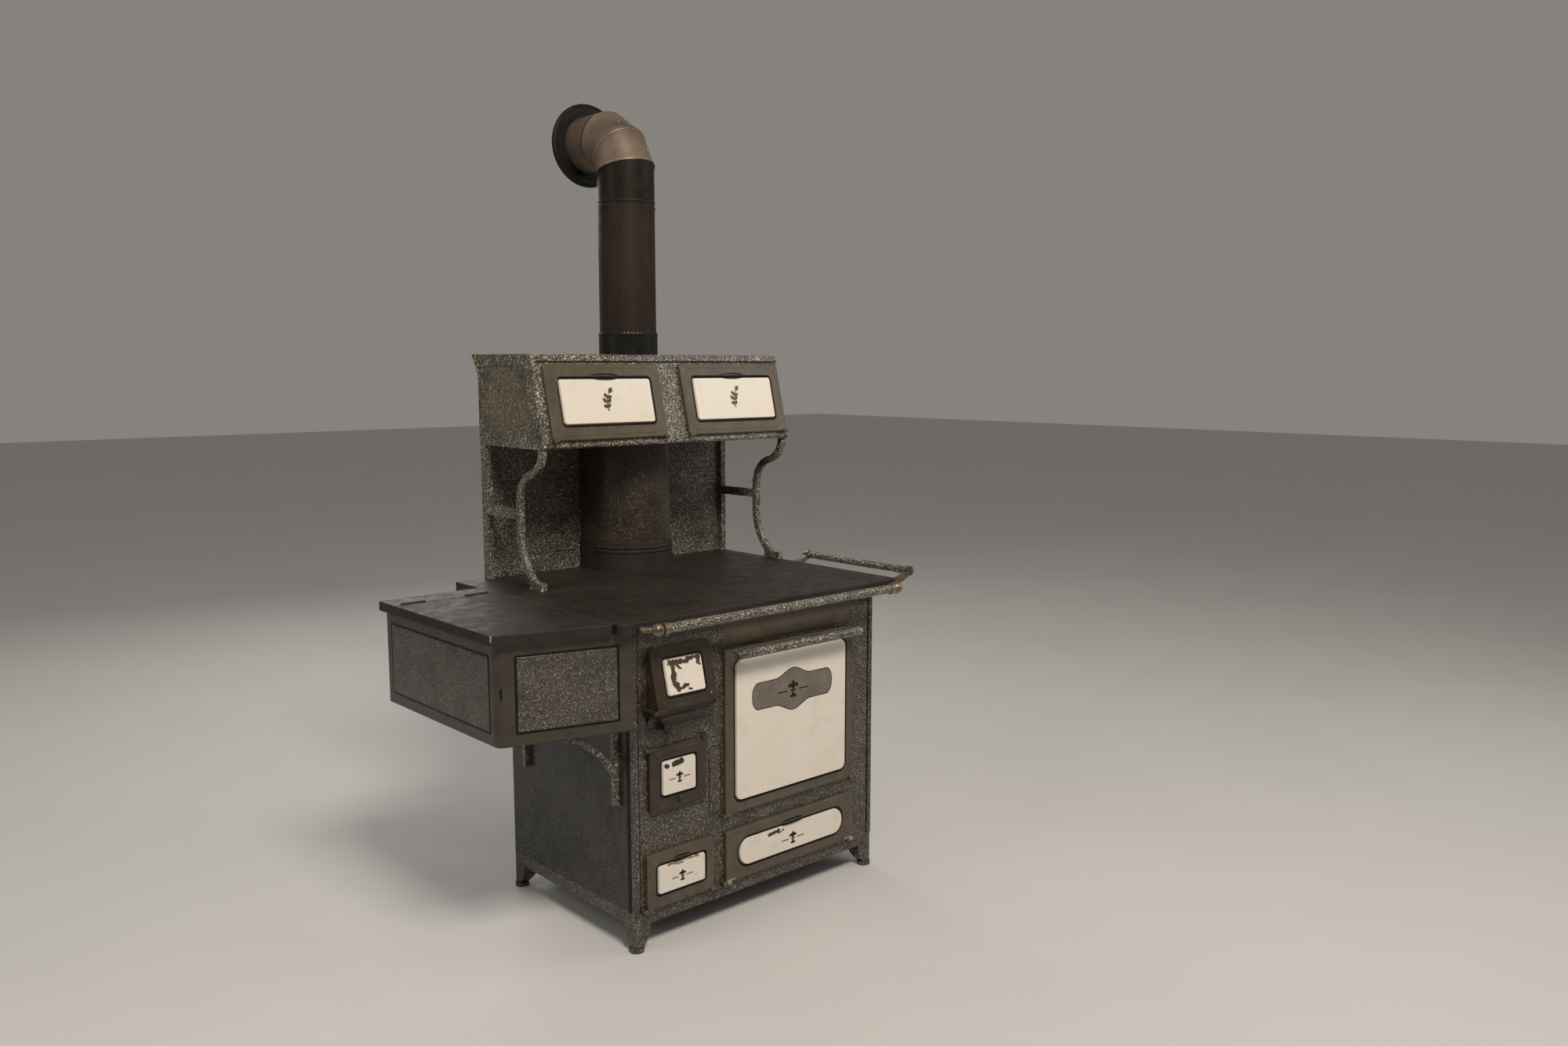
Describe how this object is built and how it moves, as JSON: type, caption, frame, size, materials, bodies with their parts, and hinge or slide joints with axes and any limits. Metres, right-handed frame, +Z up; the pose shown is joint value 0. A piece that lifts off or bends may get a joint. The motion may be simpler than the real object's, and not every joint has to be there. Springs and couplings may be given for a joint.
{
  "type": "wood and coal cooking range",
  "caption": "Enamelled cast-iron cooking range with a high warming closet, drop doors, side water reservoir, lift-off lids and a stovepipe that turns into a wall collar.",
  "frame": {"origin": "on the floor, under the middle of the range's overall width and depth", "axes": "+X to the right as someone stands in front of it, +Y into the wall, +Z up"},
  "size_m": [1.347, 0.987, 2.222],
  "materials": {
    "speckled_enamel": "speckled vitreous enamel on cast iron",
    "grey_enamel": "satin grey-green enamel",
    "porcelain": "glossy cream porcelain enamel",
    "cast_iron": "worn bare cast iron",
    "oven_steel": "darkened sheet steel",
    "pipe_steel": "stovepipe black",
    "worn_nickel": "worn nickel plate"
  },
  "bodies": {
    "range": {"front_frame": "speckled_enamel", "side_left": "speckled_enamel", "side_right": "speckled_enamel", "back_sheet": "speckled_enamel", "flue_casing": "oven_steel", "base": "speckled_enamel", "oven_plate": "cast_iron", "oven_box": "oven_steel", "oven_rack": "oven_steel", "firebox": "cast_iron", "storage_box": "oven_steel", "cooktop": "cast_iron", "splash_back": "speckled_enamel", "flue_collar": "cast_iron", "flue_column": "speckled_enamel", "bracket_left": "speckled_enamel", "bracket_right": "speckled_enamel", "closet": "speckled_enamel", "pipe_collar": "pipe_steel", "stovepipe": "pipe_steel", "elbow": "pipe_steel", "wall_pipe": "pipe_steel", "wall_collar": "pipe_steel", "front_rail": "speckled_enamel", "rail_holders": "worn_nickel", "towel_bar": "speckled_enamel", "bar_holders": "worn_nickel", "reservoir": "grey_enamel", "reservoir_strip": "cast_iron", "reservoir_brackets": "speckled_enamel", "draft_knob": "cast_iron"},
    "fire_door": {"fire_door": "grey_enamel", "fire_panel": "porcelain"},
    "draft_door": {"draft_door": "grey_enamel", "draft_panel": "porcelain"},
    "ash_door": {"ash_door": "grey_enamel", "ash_panel": "porcelain"},
    "oven_door": {"oven_door": "grey_enamel", "oven_panel": "porcelain", "oven_handle": "speckled_enamel"},
    "storage_door": {"storage_door": "grey_enamel", "storage_panel": "porcelain"},
    "closet_left_door": {"closet_left_door": "grey_enamel", "closet_left_panel": "porcelain"},
    "closet_right_door": {"closet_right_door": "grey_enamel", "closet_right_panel": "porcelain"},
    "reservoir_lid": {"reservoir_lid": "cast_iron"},
    "lid_front_left": {"lid_front_left": "cast_iron"},
    "lid_rear_left": {"lid_rear_left": "cast_iron"},
    "lid_front_middle": {"lid_front_middle": "cast_iron"},
    "lid_rear_middle": {"lid_rear_middle": "cast_iron"}
  },
  "joints": [
    {"name": "fire_door_hinge", "type": "hinge", "parent": "range", "child": "fire_door", "pos_m": [-0.2015, -0.45476, 0.61515], "axis": [1, 0, 0], "range_deg": [0, 60]},
    {"name": "draft_door_hinge", "type": "hinge", "parent": "range", "child": "draft_door", "pos_m": [-0.2075, -0.4175, 0.513], "axis": [-1, 0, 0], "range_deg": [0, 95]},
    {"name": "ash_door_hinge", "type": "hinge", "parent": "range", "child": "ash_door", "pos_m": [-0.2015, -0.4175, 0.104], "axis": [1, 0, 0], "range_deg": [0, 90]},
    {"name": "oven_door_hinge", "type": "hinge", "parent": "range", "child": "oven_door", "pos_m": [0.1785, -0.4175, 0.286], "axis": [1, 0, 0], "range_deg": [0, 90]},
    {"name": "storage_door_hinge", "type": "hinge", "parent": "range", "child": "storage_door", "pos_m": [0.1785, -0.4175, 0.104], "axis": [1, 0, 0], "range_deg": [0, 90]},
    {"name": "closet_left_door_hinge", "type": "hinge", "parent": "range", "child": "closet_left_door", "pos_m": [-0.0845, 0.01579, 1.2451], "axis": [1, 0, 0], "range_deg": [0, 100]},
    {"name": "closet_right_door_hinge", "type": "hinge", "parent": "range", "child": "closet_right_door", "pos_m": [0.3695, 0.01579, 1.2451], "axis": [1, 0, 0], "range_deg": [0, 100]},
    {"name": "reservoir_lid_hinge", "type": "hinge", "parent": "range", "child": "reservoir_lid", "pos_m": [-0.5315, 0.1465, 0.84], "axis": [-1, 0, 0], "range_deg": [0, 95]},
    {"name": "lid_front_left_lift", "type": "slide", "parent": "range", "child": "lid_front_left", "axis": [0, 0, 1], "range_m": [0, 0.15]},
    {"name": "lid_rear_left_lift", "type": "slide", "parent": "range", "child": "lid_rear_left", "axis": [0, 0, 1], "range_m": [0, 0.15]},
    {"name": "lid_front_middle_lift", "type": "slide", "parent": "range", "child": "lid_front_middle", "axis": [0, 0, 1], "range_m": [0, 0.15]},
    {"name": "lid_rear_middle_lift", "type": "slide", "parent": "range", "child": "lid_rear_middle", "axis": [0, 0, 1], "range_m": [0, 0.15]}
  ]
}
